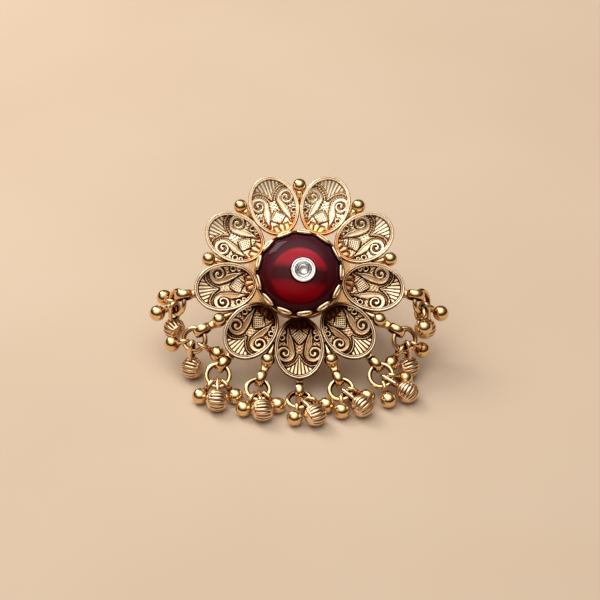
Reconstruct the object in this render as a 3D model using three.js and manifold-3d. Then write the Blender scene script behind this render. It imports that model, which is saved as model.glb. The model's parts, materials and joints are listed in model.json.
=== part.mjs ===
// A dress ring in gold-plated cast metal. A flower head of nine cupped petals holds a round red
// cabochon with a small clear stone let into its top, and nine clusters of bead drops hang on jump
// rings from its lower edge. The ring lies as it rests by itself: on the back of its finger band
// and on the drops at the front. Millimetres, +Z up, origin at the middle of the box's underside.
//
// The head has a frame of its own: x to the right, y up the flower, z out of its face, with the
// backs of the petals at z = 0. The finger band's axis runs along the head's y.
import * as THREE from "three";
import { mergeVertices } from "three/addons/utils/BufferGeometryUtils.js";
import Module from "manifold-3d";

const wasm = await Module();
wasm.setup();

const rad = THREE.MathUtils.degToRad;

// ---------------------------------------------------------------- driving dimensions

const restTilt = 42; // degrees that the head leans towards the front when the ring lies
const fitGap = 0.3; // clearance of a part that is set in another

const petals = {
  count: 9,
  firstAngle: 270, // one petal points straight down the flower
  inner: 7.3, // from the head's centre to a petal's inner end
  length: 10.7,
  width: 8.45,
  egg: 0.03, // how much wider the outer half is than the inner half
  sides: 18,
  rimTop: 2.2,
  rimWidth: 0.5,
  rimRound: 0.25, // how far below the rim's top the wall is widest
  innerLean: 0.3, // the cup's inner wall leans in this much down to the floor
  draft: 0.45, // and its outer wall this much towards the back
  floorInner: 0.75, // height of the cup's floor at its inner end
  floorTip: 1.35, // and at its tip
};
const relief = { rise: 0.5, sink: 0.25, rootHalf: 0.34 };
const volute = { along: 5.9, across: 2.2, outerRadius: 1.5, eyeRadius: 0.5, turn: 405, step: 45, pieces: 9 };
// A scroll's tail, from beside the petal's inner end up to its spiral.
const voluteTail = [
  { along: 1.8, across: 2.0 },
  { along: 3.5, across: 1.65 },
  { along: 4.9, across: 0.8 },
];
const fan = { ridges: 3, spread: 34, start: 1.0, length: 1.7, width: 0.28, along: 6.7, lift: 0.05 };
const shield = { along: 3.7, halfLength: 1.0, halfWidth: 0.9, topShare: 0.7 };

const granules = { radius: 1.22, circle: 15.6, height: 1.25, sides: 10, rows: 4 };
const post = { length: 2.2, width: 0.8, overlap: 0.4, drop: 0.3 }; // behind each granule

const bezel = {
  lobes: 13,
  radius: 7.4,
  wall: 0.45,
  top: 2.9,
  flange: 7.6,
  footRadius: 7.1,
  floor: 0.3,
  underside: -1.0,
};
const lobe = { halfAlong: 1.35, halfAcross: 0.62, halfThick: 0.3, lean: 38, inward: 0.15, up: 0.15 };

const band = {
  innerRadius: 8.25,
  thickness: 1.1,
  centreHeight: -8.9,
  shoulderWidth: 9.6,
  backWidth: 4.0,
  slimFrom: 35, // degrees round from the head where it starts to slim
  insideShare: 0.9, // of the width that is flat against the finger
  edgeShare: 0.55, // of the thickness where the band is widest
  sides: 26,
};

const stone = {
  girdleRadius: 6.6,
  girdle: 2.2,
  foot: 0.6,
  footRadius: 6.3,
  dome: 2.75,
  pocket: 0.75, // depth of the pocket for the collet, from the top
  sides: 16,
  rows: 4,
};
const collet = {
  radius: 2.1,
  wall: 0.42,
  height: 1.15,
  floor: 0.35,
  lipHeight: 0.2,
  lipIn: 0.15,
  offset: 0.65, // to the right of the stone's middle
  sides: 10,
};
const accent = { radius: 1.3, table: 0.75, crown: 0.3, girdle: 0.1, pavilion: 0.3, sides: 8 };

const bandLoop = {
  outerRadius: 1.62,
  innerRadius: 1.2,
  width: 1.25,
  height: 0.6,
  tipCircle: 19.9, // loops on petal tips
  granuleCircle: 18.9, // loops on granules
  sides: 10,
};
// The bracket that carries a band loop, from its root under the edge to its narrow tip.
const bracket = {
  under: 0.9,
  rootHalf: 1.05,
  rootLow: 0.35,
  rootHigh: 0.85,
  tipHalf: 0.55,
  tipRise: 0.35,
  embed: 0.2, // how far the tip runs into the loop
};

const jumpRing = { radius: 1.95, wire: 0.41, seat: 0.22, sides: 12, wireSides: 5 };
const hook = { wire: 0.32, sides: 10, wireSides: 5 }; // the wire of the drops' own loops
// A drop's loop is two half rings drawn apart by its straight sides. slack is how far its far end
// stands off the wire that carries it.
const plainDrop = {
  ball: 1.37,
  rows: 4,
  sides: 10,
  loopRadius: 0.82,
  loopStraight: 0.15,
  slack: 0.18,
  collar: 0.55,
  collarHeight: 0.4,
};
const flutedDrop = {
  ball: 1.95,
  flutes: 8,
  fluteDepth: 0.18,
  loopRadius: 0.8,
  loopStraight: 0.85,
  slack: 1.1,
  collarHeight: 0,
};
const beadLatitudes = [-76, -42, 0, 42, 76]; // a fluted bead's rings; the outermost bound its caps
const solder = 0.1; // how far a ball runs into the loop or collar above it
const steepestMiddle = 86; // degrees down for a fluted drop that hangs free

// How each cluster lies. loopAngle is its band loop's place on the head, and ringSlope and
// sideSlope are degrees down: the jump ring's, and the steepest that the two plain drops hang at,
// leaning on the fluted one between them. The others are compass angles from above, 270 to the front.
const clusters = [
  { loopAngle: 190, ringAim: 155, ringSlope: 55, fluted: 240, left: 186, right: 120, sideSlope: 22 },
  { loopAngle: 210, ringAim: 205, ringSlope: 45, fluted: 255, left: 150, right: 350, sideSlope: 30 },
  { loopAngle: 230, ringAim: 240, ringSlope: 35, fluted: 270, left: 225, right: 315, sideSlope: 55 },
  { loopAngle: 250, ringAim: 256, ringSlope: 20, fluted: 280, left: 240, right: 320, sideSlope: 55 },
  { loopAngle: 270, ringAim: 270, ringSlope: 3, fluted: 300, left: 260, right: 345, sideSlope: 55 },
  { loopAngle: 290, ringAim: 284, ringSlope: 20, fluted: 310, left: 270, right: 355, sideSlope: 55 },
  { loopAngle: 310, ringAim: 300, ringSlope: 35, fluted: 330, left: 285, right: 25, sideSlope: 30 },
  { loopAngle: 330, ringAim: 335, ringSlope: 45, fluted: 325, left: 218, right: 40, sideSlope: 48 },
  { loopAngle: 350, ringAim: 25, ringSlope: 55, fluted: 320, left: 285, right: 2, sideSlope: 30 },
];

// ---------------------------------------------------------------- materials

const gold = new THREE.MeshStandardMaterial({ color: "#c99a4a", roughness: 0.3, metalness: 1 });
const paleGold = new THREE.MeshStandardMaterial({ color: "#d8b878", roughness: 0.3, metalness: 1 });
const silver = new THREE.MeshStandardMaterial({ color: "#dcdcda", roughness: 0.25, metalness: 1 });
const redGlass = new THREE.MeshStandardMaterial({ color: "#7a0a1c", roughness: 0.05, metalness: 0 });
const clearGlass = new THREE.MeshStandardMaterial({ color: "#e9edf0", roughness: 0.03, metalness: 0 });

// ---------------------------------------------------------------- solids

// A closed geometry as a solid, placed by a matrix.
function solid(geometry, matrix = new THREE.Matrix4()) {
  const bare = new THREE.BufferGeometry();
  bare.setAttribute("position", geometry.getAttribute("position").clone());
  bare.setIndex(geometry.index);
  const merged = mergeVertices(bare.applyMatrix4(matrix));
  return new wasm.Manifold(
    new wasm.Mesh({
      numProp: 3,
      vertProperties: merged.getAttribute("position").array,
      triVerts: new Uint32Array(merged.index.array),
    }),
  );
}

// Solids joined into one.
function join(solids) {
  return wasm.Manifold.union(solids);
}

// A solid as a three.js geometry.
function geometryOf(made) {
  const { vertProperties, triVerts } = made.getMesh();
  const geometry = new THREE.BufferGeometry();
  geometry.setAttribute("position", new THREE.BufferAttribute(vertProperties, 3));
  geometry.setIndex(new THREE.BufferAttribute(triVerts, 1));
  return geometry;
}

function part(name, made, material) {
  const mesh = new THREE.Mesh(geometryOf(made), material);
  mesh.name = name;
  return mesh;
}

// A closed skin over rings of points, each ring anticlockwise seen from the end. A looped skin
// comes back to its first ring, and any other is closed by flat ends.
function skin(rings, looped = false) {
  const count = rings[0].length;
  const faces = [];
  const steps = looped ? rings.length : rings.length - 1;
  for (let i = 0; i < steps; i++) {
    const here = i * count;
    const next = ((i + 1) % rings.length) * count;
    for (let j = 0; j < count; j++) {
      const k = (j + 1) % count;
      faces.push(here + j, here + k, next + k, here + j, next + k, next + j);
    }
  }
  const end = (rings.length - 1) * count;
  for (let j = 1; j < count - 1 && !looped; j++) {
    faces.push(0, j + 1, j, end, end + j, end + j + 1);
  }
  const geometry = new THREE.BufferGeometry().setFromPoints(rings.flat());
  geometry.setIndex(faces);
  return geometry;
}

// A body turned about z from a profile of [radius, z] pairs.
function turned(profile, sides) {
  const points = profile.map(([radius, z]) => new THREE.Vector2(radius, z));
  return new THREE.LatheGeometry(points, sides).rotateX(Math.PI / 2);
}

// An arc profile for a turned ball, from an angle at its lower pole to the upper pole.
function ballProfile(radius, rows, from = 0) {
  const points = [];
  for (let i = 0; i <= rows; i++) {
    const a = from + (i / rows) * (Math.PI - from);
    points.push([radius * Math.sin(a), -radius * Math.cos(a)]);
  }
  points[rows][0] = 0;
  return points;
}

function shift(x, y, z) {
  return new THREE.Matrix4().makeTranslation(x, y, z);
}

function turnZ(degrees) {
  return new THREE.Matrix4().makeRotationZ(rad(degrees));
}

// ---------------------------------------------------------------- petals

// One petal lies along +x. Its outline is an egg, drawn in from the edge by an inset.
function petalRing(inset, heightAt) {
  const ring = [];
  for (let i = 0; i < petals.sides; i++) {
    const a = (i / petals.sides) * 2 * Math.PI;
    const along = petals.length / 2 + (petals.length / 2 - inset) * Math.cos(a);
    const across = (petals.width / 2 - inset) * Math.sin(a) * (1 + petals.egg * Math.cos(a));
    ring.push(new THREE.Vector3(petals.inner + along, across, heightAt(along)));
  }
  return ring;
}

function floorHeight(along) {
  return THREE.MathUtils.lerp(petals.floorInner, petals.floorTip, along / petals.length);
}

function petalCup() {
  const { rimTop, rimWidth, rimRound, innerLean, draft } = petals;
  return solid(
    skin([
      petalRing(draft, () => 0),
      petalRing(0, () => rimTop - rimRound),
      petalRing(rimWidth, () => rimTop),
      petalRing(rimWidth + innerLean, floorHeight),
    ]),
  );
}

// A scroll: a line that rises beside the petal's middle, turns outwards over the top and winds in.
function voluteRib(side) {
  const { along, across, outerRadius, eyeRadius, turn, step, pieces } = volute;
  const route = voluteTail.map((point) => new THREE.Vector2(point.along, point.across));
  for (let angle = 0; angle <= turn; angle += step) {
    const radius = THREE.MathUtils.lerp(outerRadius, eyeRadius, angle / turn);
    const a = rad(angle - 90);
    route.push(new THREE.Vector2(along + radius * Math.cos(a), across + radius * Math.sin(a)));
  }
  const path = new THREE.CatmullRomCurve3(
    route.map(({ x, y }) => new THREE.Vector3(petals.inner + x, side * y, floorHeight(x))),
  );
  return solid(ribAlong(path, pieces));
}

// A ridge with two sloping sides, its root sunk in the floor. Along a level path the section's x
// points down.
function ribAlong(path, steps) {
  const { rise, sink, rootHalf } = relief;
  const section = new THREE.Shape([
    new THREE.Vector2(-rise, 0),
    new THREE.Vector2(sink, -rootHalf),
    new THREE.Vector2(sink, rootHalf),
  ]);
  return new THREE.ExtrudeGeometry(section, { steps, extrudePath: path });
}

function fanRidges() {
  const ridges = [];
  for (let i = 0; i < fan.ridges; i++) {
    const angle = (i - (fan.ridges - 1) / 2) * fan.spread;
    const bar = new THREE.BoxGeometry(fan.length, fan.width, relief.rise);
    const out = shift(fan.start + fan.length / 2, 0, 0);
    const height = floorHeight(fan.along + fan.start + fan.length / 2) + fan.lift;
    const place = shift(petals.inner + fan.along, 0, height);
    ridges.push(solid(bar, place.multiply(turnZ(angle)).multiply(out)));
  }
  return ridges;
}

function shieldBoss() {
  const { along, halfLength, halfWidth, topShare } = shield;
  const diamond = new THREE.CylinderGeometry(topShare, 1, 2 * relief.rise, 4).rotateX(Math.PI / 2);
  const size = new THREE.Matrix4().makeScale(halfLength, halfWidth, 1);
  return solid(diamond, shift(petals.inner + along, 0, floorHeight(along)).multiply(size));
}

function petal() {
  return join([petalCup(), voluteRib(1), voluteRib(-1), shieldBoss(), ...fanRidges()]);
}

// ---------------------------------------------------------------- granules and band loops

// A granule lies along +x on its short post, which reaches back between two petals.
function granule() {
  const { radius, circle, height, sides, rows } = granules;
  const ball = turned(ballProfile(radius, rows), sides);
  const bar = new THREE.BoxGeometry(post.length, post.width, post.width);
  const postMiddle = circle - radius + post.overlap - post.length / 2;
  return join([
    solid(ball, shift(circle, 0, height)),
    solid(bar, shift(postMiddle, 0, height - post.drop)),
  ]);
}

// A flat band bent into a loop, its hole running across the flower's edge, on a bracket that
// flares back under the piece that carries it.
function loopOnBracket(circle, carrierEdge) {
  const { outerRadius, innerRadius, width, height, sides } = bandLoop;
  const ring = turned(
    [
      [innerRadius, -width / 2],
      [outerRadius, -width / 2],
      [outerRadius, width / 2],
      [innerRadius, width / 2],
      [innerRadius, -width / 2],
    ],
    sides,
  ).rotateX(Math.PI / 2);
  const { under, rootHalf, rootLow, rootHigh, tipHalf, tipRise, embed } = bracket;
  const flare = skin([
    bracketRing(carrierEdge - under, rootHalf, rootLow, rootHigh),
    bracketRing(circle - innerRadius - embed, tipHalf, height - tipRise, height + tipRise),
  ]);
  return join([solid(ring, shift(circle, 0, height)), solid(flare)]);
}

// The bracket's section across +x: a rectangle from low to high.
function bracketRing(x, halfWidth, low, high) {
  return [
    new THREE.Vector3(x, -halfWidth, low),
    new THREE.Vector3(x, halfWidth, low),
    new THREE.Vector3(x, halfWidth, high),
    new THREE.Vector3(x, -halfWidth, high),
  ];
}

// ---------------------------------------------------------------- bezel and finger band

function bezelCup() {
  const { radius, wall, top, flange, footRadius, floor, underside } = bezel;
  return solid(
    turned(
      [
        [0, underside],
        [footRadius, underside],
        [flange, floor],
        [radius, top],
        [radius - wall, top],
        [radius - wall, floor],
        [0, floor],
      ],
      bezel.lobes * 2,
    ),
  );
}

// An oval pad bent in over the stone's edge.
function bezelLobe(index) {
  const { lobes, radius, wall, top } = bezel;
  const pad = new THREE.SphereGeometry(1, 6, 3);
  const shape = new THREE.Matrix4().makeScale(lobe.halfAcross, lobe.halfAlong, lobe.halfThick);
  const lean = new THREE.Matrix4().makeRotationY(rad(lobe.lean));
  const place = shift(radius - wall / 2 - lobe.inward, 0, top + lobe.up);
  const around = turnZ((index * 360) / lobes);
  return solid(pad, around.multiply(place).multiply(lean).multiply(shape));
}

// The finger band: a low crowned section carried round the finger, wide at the shoulders.
function fingerBand() {
  const { innerRadius, thickness, centreHeight, shoulderWidth, backWidth, slimFrom, sides } = band;
  const edge = innerRadius + band.edgeShare * thickness;
  const crown = innerRadius + thickness;
  const rings = [];
  for (let i = 0; i < sides; i++) {
    const around = ((i + 0.5) / sides) * 2 * Math.PI;
    const slim = THREE.MathUtils.smoothstep(-Math.cos(around), -Math.cos(rad(slimFrom)), 1);
    const half = THREE.MathUtils.lerp(shoulderWidth, backWidth, slim) / 2;
    const section = [
      [innerRadius, -band.insideShare * half],
      [innerRadius, band.insideShare * half],
      [edge, half],
      [crown, half / 2],
      [crown, -half / 2],
      [edge, -half],
    ];
    rings.push(
      section.map(
        ([r, y]) => new THREE.Vector3(r * Math.sin(around), y, centreHeight + r * Math.cos(around)),
      ),
    );
  }
  return solid(skin(rings, true));
}

// ---------------------------------------------------------------- the soldered mount

function mount() {
  const pieces = [bezelCup(), fingerBand()];
  const petalStep = 360 / petals.count;
  for (let i = 0; i < petals.count; i++) {
    const angle = petals.firstAngle + i * petalStep;
    pieces.push(petal().transform(turnZ(angle).elements));
    pieces.push(granule().transform(turnZ(angle + petalStep / 2).elements));
  }
  for (let i = 0; i < bezel.lobes; i++) pieces.push(bezelLobe(i));
  for (const { loopAngle } of clusters) {
    const onTip = (loopAngle - petals.firstAngle) % petalStep === 0;
    const loop = onTip
      ? loopOnBracket(bandLoop.tipCircle, petals.inner + petals.length)
      : loopOnBracket(bandLoop.granuleCircle, granules.circle + granules.radius);
    pieces.push(loop.transform(turnZ(loopAngle).elements));
  }
  return join(pieces);
}

// ---------------------------------------------------------------- stones

const stoneTop = stone.girdle + stone.dome;
const pocketFloor = stoneTop - stone.pocket;

function centerStone() {
  const { girdleRadius, girdle, foot, footRadius, dome, sides, rows } = stone;
  const profile = [
    [0, foot],
    [footRadius, foot],
    [girdleRadius, girdle],
  ];
  for (let i = 1; i <= rows; i++) {
    const a = (i / rows) * (Math.PI / 2);
    profile.push([i < rows ? girdleRadius * Math.cos(a) : 0, girdle + dome * Math.sin(a)]);
  }
  const pocketRadius = collet.radius + fitGap / 2;
  const depth = 2 * stone.pocket;
  const pocket = new THREE.CylinderGeometry(pocketRadius, pocketRadius, depth, collet.sides);
  const cut = solid(pocket.rotateX(Math.PI / 2), shift(collet.offset, 0, pocketFloor + depth / 2));
  return solid(turned(profile, sides)).subtract(cut);
}

function accentCollet() {
  const { radius, wall, height, floor, lipHeight, lipIn, sides } = collet;
  const foot = pocketFloor + fitGap / 2;
  const cup = turned(
    [
      [0, foot],
      [radius, foot],
      [radius, foot + height - lipHeight],
      [radius - lipIn, foot + height],
      [radius - wall, foot + height],
      [radius - wall, foot + floor],
      [0, foot + floor],
    ],
    sides,
  );
  return solid(cup, shift(collet.offset, 0, 0));
}

// A round cut stone: table, 8 crown facets, a thin girdle and 8 pavilion facets.
function accentStone() {
  const { radius, table, crown, girdle, pavilion, sides } = accent;
  const foot = pocketFloor + fitGap / 2 + collet.floor + fitGap / 3;
  const cut = turned(
    [
      [0, foot],
      [radius, foot + pavilion],
      [radius, foot + pavilion + girdle],
      [table, foot + pavilion + girdle + crown],
      [0, foot + pavilion + girdle + crown],
    ],
    sides,
  );
  return solid(cut, shift(collet.offset, 0, 0));
}

// ---------------------------------------------------------------- drops

// A drop hangs along +z from the middle of the wire that carries it. Its loop's hole runs along x.
function dropLoop({ loopRadius, loopStraight, slack }) {
  const loop = new THREE.TorusGeometry(loopRadius, hook.wire, hook.wireSides, hook.sides);
  loop.rotateZ(Math.PI / hook.sides);
  const position = loop.getAttribute("position");
  for (let i = 0; i < position.count; i++) {
    position.setY(i, position.getY(i) + Math.sign(position.getY(i)) * loopStraight);
  }
  const upright = new THREE.Matrix4().makeBasis(
    new THREE.Vector3(0, 1, 0),
    new THREE.Vector3(0, 0, 1),
    new THREE.Vector3(1, 0, 0),
  );
  return solid(loop, shift(0, 0, loopCentre({ loopRadius, loopStraight, slack })).multiply(upright));
}

function loopCentre({ loopRadius, loopStraight, slack }) {
  return loopRadius + loopStraight - (jumpRing.wire + hook.wire + slack);
}

function loopFoot(drop) {
  return loopCentre(drop) + drop.loopRadius + drop.loopStraight;
}

// From the carrying wire to the ball's centre.
function dropLength(drop) {
  return loopFoot(drop) + drop.collarHeight + drop.ball - solder;
}

function plainDropSolid() {
  const { ball, rows, sides, collar, collarHeight } = plainDrop;
  const body = turned(
    [
      [0, -ball - collarHeight],
      [collar, -ball - collarHeight],
      ...ballProfile(ball, rows, Math.asin(collar / ball)),
    ],
    sides,
  );
  return join([dropLoop(plainDrop), solid(body, shift(0, 0, dropLength(plainDrop)))]);
}

// A melon bead: grooves run between two smooth poles, which lie along x.
function melonBead() {
  const { ball, flutes, fluteDepth } = flutedDrop;
  const rings = beadLatitudes.map((latitude) => {
    const ring = [];
    const groove = Math.abs(latitude) < Math.max(...beadLatitudes) ? fluteDepth : 0;
    for (let i = 0; i < 2 * flutes; i++) {
      const a = (i / (2 * flutes)) * 2 * Math.PI;
      const r = (ball - (i % 2) * groove) * Math.cos(rad(latitude));
      ring.push(new THREE.Vector3(ball * Math.sin(rad(latitude)), r * Math.cos(a), r * Math.sin(a)));
    }
    return ring;
  });
  return skin(rings);
}

function flutedDropSolid() {
  return join([dropLoop(flutedDrop), solid(melonBead(), shift(0, 0, dropLength(flutedDrop)))]);
}

// ---------------------------------------------------------------- how a cluster lies

function compass(aim, slope) {
  const level = Math.cos(rad(slope));
  return new THREE.Vector3(
    level * Math.cos(rad(aim)),
    level * Math.sin(rad(aim)),
    -Math.sin(rad(slope)),
  );
}

// The jump ring runs through its band loop: its plane holds the loop's hole and the ring's aim.
function layRing({ ringAim, ringSlope }, loopCentrePoint, loopHole) {
  const down = compass(ringAim, ringSlope);
  const along = loopHole.clone().addScaledVector(down, -loopHole.dot(down)).normalize();
  const centre = loopCentrePoint.clone().addScaledVector(down, jumpRing.seat + jumpRing.radius);
  return { centre, along, down, normal: new THREE.Vector3().crossVectors(along, down) };
}

// A drop slides along the jump ring until it pulls straight out, and its ball comes to the floor
// where it can reach it. Each round brings the hooking point and the slope nearer to each other.
function layDrop(ring, aim, drop, steepest) {
  const length = dropLength(drop);
  let point = ring.centre.clone().addScaledVector(ring.down, jumpRing.radius);
  let way;
  for (let round = 0; round < 8; round++) {
    const reach = THREE.MathUtils.clamp((point.z - drop.ball) / length, -1, Math.sin(rad(steepest)));
    way = compass(aim, THREE.MathUtils.radToDeg(Math.asin(reach)));
    const out = way.clone().addScaledVector(ring.normal, -way.dot(ring.normal)).normalize();
    point = ring.centre.clone().addScaledVector(out, jumpRing.radius);
  }
  const hole = new THREE.Vector3().crossVectors(ring.normal, way).normalize();
  const flank = new THREE.Vector3().crossVectors(way, hole);
  return new THREE.Matrix4().makeBasis(hole, flank, way).setPosition(point);
}

// ---------------------------------------------------------------- the ring, laid down

const head = new THREE.Group();
head.add(part("ring_mount", mount(), gold));
head.add(part("center_stone", centerStone(), redGlass));
head.add(part("accent_collet", accentCollet(), silver));
head.add(part("accent_stone", accentStone(), clearGlass));
head.rotation.x = rad(restTilt);
head.updateMatrixWorld(true);
head.position.z = -new THREE.Box3().setFromObject(head.children[0], true).min.z;
head.updateMatrixWorld(true);

const ring = new THREE.Group();
ring.add(head);

const plainGeometry = geometryOf(plainDropSolid());
const flutedGeometry = geometryOf(flutedDropSolid());

function layPiece(name, geometry, matrix, material) {
  const mesh = new THREE.Mesh(geometry, material);
  mesh.name = name;
  matrix.decompose(mesh.position, mesh.quaternion, mesh.scale);
  ring.add(mesh);
}

clusters.forEach((row, index) => {
  const number = index + 1;
  const onTip = (row.loopAngle - petals.firstAngle) % (360 / petals.count) === 0;
  const circle = onTip ? bandLoop.tipCircle : bandLoop.granuleCircle;
  const a = rad(row.loopAngle);
  const loopCentrePoint = new THREE.Vector3(circle * Math.cos(a), circle * Math.sin(a), bandLoop.height);
  const loopHole = new THREE.Vector3(-Math.sin(a), Math.cos(a), 0);
  loopCentrePoint.applyMatrix4(head.matrixWorld);
  loopHole.transformDirection(head.matrixWorld);

  const laid = layRing(row, loopCentrePoint, loopHole);
  const wire = new THREE.TorusGeometry(jumpRing.radius, jumpRing.wire, jumpRing.wireSides, jumpRing.sides);
  const ringPlace = new THREE.Matrix4().makeBasis(laid.along, laid.down, laid.normal);
  layPiece(`jump_ring_${number}`, wire, ringPlace.setPosition(laid.centre), paleGold);

  const between = layDrop(laid, row.fluted, flutedDrop, steepestMiddle);
  layPiece(`fluted_drop_${number}`, flutedGeometry, between, gold);
  [row.left, row.right].forEach((aim, side) => {
    const place = layDrop(laid, aim, plainDrop, row.sideSlope);
    layPiece(`plain_drop_${2 * index + side + 1}`, plainGeometry, place, paleGold);
  });
});

// The middle of the box's underside becomes the origin.
ring.updateMatrixWorld(true);
const box = new THREE.Box3().setFromObject(ring, true);
const middle = box.getCenter(new THREE.Vector3());
ring.position.set(-middle.x, -middle.y, -box.min.z);

export default ring;
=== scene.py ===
"""A dress ring of gold-plated cast metal, lying on a pale floor: its finished surfaces, materials,
light and camera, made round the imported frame.

Shapes are worked out in millimetres. The head has a frame of its own, as in the part's source:
x to the right, y up the flower, z out of its face, with the backs of the petals at z = 0.
"""

import json

import bpy
import numpy as np
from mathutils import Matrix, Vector


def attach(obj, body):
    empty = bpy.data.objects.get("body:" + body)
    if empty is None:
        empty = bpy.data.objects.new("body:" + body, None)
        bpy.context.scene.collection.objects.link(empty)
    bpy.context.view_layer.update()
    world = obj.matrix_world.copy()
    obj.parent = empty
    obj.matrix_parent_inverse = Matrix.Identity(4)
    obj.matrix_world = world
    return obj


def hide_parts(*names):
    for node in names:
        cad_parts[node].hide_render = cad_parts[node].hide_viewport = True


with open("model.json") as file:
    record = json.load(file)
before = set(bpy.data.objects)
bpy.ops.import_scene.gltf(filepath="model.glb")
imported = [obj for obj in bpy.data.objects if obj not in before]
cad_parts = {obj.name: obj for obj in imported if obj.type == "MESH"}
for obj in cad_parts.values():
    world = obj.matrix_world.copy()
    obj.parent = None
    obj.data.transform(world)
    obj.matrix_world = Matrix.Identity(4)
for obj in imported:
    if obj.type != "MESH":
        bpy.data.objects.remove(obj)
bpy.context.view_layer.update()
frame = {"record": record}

MM = 0.001  # a millimetre in the frame's metres

# ---------------------------------------------------------------- sizes

# In millimetres. Those that the part's source has too are the same there, unless a comment says
# otherwise. Heights are along z.
REST_TILT = np.radians(42)  # how far the flower is tipped forward from level

PETAL_COUNT = 9
PETAL_FIRST = 270  # degrees: one petal points straight down the flower
PETAL_STEP = 360 / PETAL_COUNT
PETAL_INNER = 7.3  # radius at which the petals start
PETAL_LENGTH = 10.7
PETAL_WIDTH = 8.45
PETAL_EGG = 0.03  # how much wider the outer half is than the inner half
RIM_TOP = 2.2

GRANULE_RADIUS = 1.22
GRANULE_CIRCLE = 15.6  # radius of the circle on which the granules stand
GRANULE_HEIGHT = 1.25

BEZEL_LOBES = 13
BEZEL_RADIUS = 7.4
BEZEL_WALL = 0.45
BEZEL_TOP = 2.9
BEZEL_FLANGE = 7.6  # radius of the step at its foot
BEZEL_FOOT = 7.1
BEZEL_FLOOR = 0.3
UNDERSIDE = -1.0  # height of the flat under the setting

BAND_INNER = 8.25  # radius of the finger hole
BAND_THICK = 1.1
BAND_CROWN = 0.88  # share of the thickness that the rounded section keeps
BAND_CENTRE = -8.9  # height of the finger's axis
SHOULDER_WIDTH = 9.6
BACK_WIDTH = 4.0
SLIM_FROM = np.radians(35)  # how far round from the setting the band starts to slim

GIRDLE_RADIUS = 6.82  # the solid's is 6.6: the smooth stone nearly fills its setting
GIRDLE_HEIGHT = 2.2
STONE_FOOT = 0.6
STONE_FOOT_RADIUS = 6.3
STONE_DOME = 2.75  # height of the dome over the girdle
POCKET_DEPTH = 0.75  # of the collet's pocket, from the top of the dome

COLLET_RADIUS = 2.1
COLLET_HEIGHT = 1.15
COLLET_OFFSET = 0.65  # how far right of the middle the collet stands
FIT_GAP = 0.3  # how much wider the pocket is than the collet; half as much is left under it

LOOP_OUTER = 1.62
LOOP_INNER = 1.2
LOOP_WIDTH = 1.25
LOOP_HEIGHT = 0.6
TIP_CIRCLE = 19.9  # radius at which the loops on the petals' tips are centred
GRANULE_LOOP_CIRCLE = 18.9  # and those on the granules

JUMP_RADIUS = 1.95
JUMP_WIRE = 0.41  # radius of a jump ring's wire
JUMP_SEAT = 0.22  # how far past the centre of its band loop a jump ring's wire passes

HOOK_WIRE = 0.32  # radius of the wire of a drop's own loop
WIRE_FULL = 0.03  # how much fuller a smooth wire is than the faceted one it stands for
SOLDER = 0.1  # how far a ball runs into the loop or collar above it
# Each kind of drop: the radius of its ball, the radius of its loop with half the length of the loop's
# straight sides, the loop's slack on its jump ring, and its collar's radius and height.
PLAIN = {
    "ball": 1.37,
    "loop": 0.82,
    "straight": 0.15,
    "slack": 0.18,
    "collar": 0.55,
    "collar_height": 0.4,
}
FLUTED = {
    "ball": 1.95,
    "loop": 0.8,
    "straight": 0.85,
    "slack": 1.1,
    "collar_height": 0.0,
}
STEEPEST_MIDDLE = 86  # degrees down for a fluted drop that hangs free

# How each cluster lies: compass aims from above, 270 to the front, and slopes in degrees down. The
# solid's right aim at loop 250 is 320: the fuller wires need the 3 degrees to lie clear.
CLUSTERS = [
    # loop, ring aim, ring slope, fluted aim, left aim, right aim, steepest slope of the plain drops
    (190, 155, 55, 240, 186, 120, 22),
    (210, 205, 45, 255, 150, 350, 30),
    (230, 240, 35, 270, 225, 315, 55),
    (250, 256, 20, 280, 240, 317, 55),
    (270, 270, 3, 300, 260, 345, 55),
    (290, 284, 20, 310, 270, 355, 55),
    (310, 300, 35, 330, 285, 25, 30),
    (330, 335, 45, 325, 218, 40, 48),
    (350, 25, 55, 320, 285, 2, 30),
]

# ---------------------------------------------------------------- places

# The finger seat is the flat under the setting, so it gives the head's place and its axis.
seat = frame["record"]["mounts"][0]
head_normal = -np.array(seat["axis"])
HEAD = np.array(seat["pos_m"]) / MM - UNDERSIDE * head_normal
HEAD_TURN = np.array([
    [1, 0, 0],
    [0, np.cos(REST_TILT), -np.sin(REST_TILT)],
    [0, np.sin(REST_TILT), np.cos(REST_TILT)],
])


def on_head(points):
    """Points of the head's frame, in the row frame: turned by the rest tilt, then moved to its place."""
    return points @ HEAD_TURN.T + HEAD


def turned_z(points, degrees):
    """Points turned about z by an angle."""
    c, s = np.cos(np.radians(degrees)), np.sin(np.radians(degrees))
    return points @ np.array([[c, s, 0], [-s, c, 0], [0, 0, 1]])


def unit(vector):
    """A vector brought to a length of 1."""
    return vector / np.linalg.norm(vector)


def at_tip(loop):
    """Whether a band loop's angle is that of a petal's tip, and not of a granule."""
    return (loop - PETAL_FIRST) % PETAL_STEP == 0


# ---------------------------------------------------------------- shells

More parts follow.
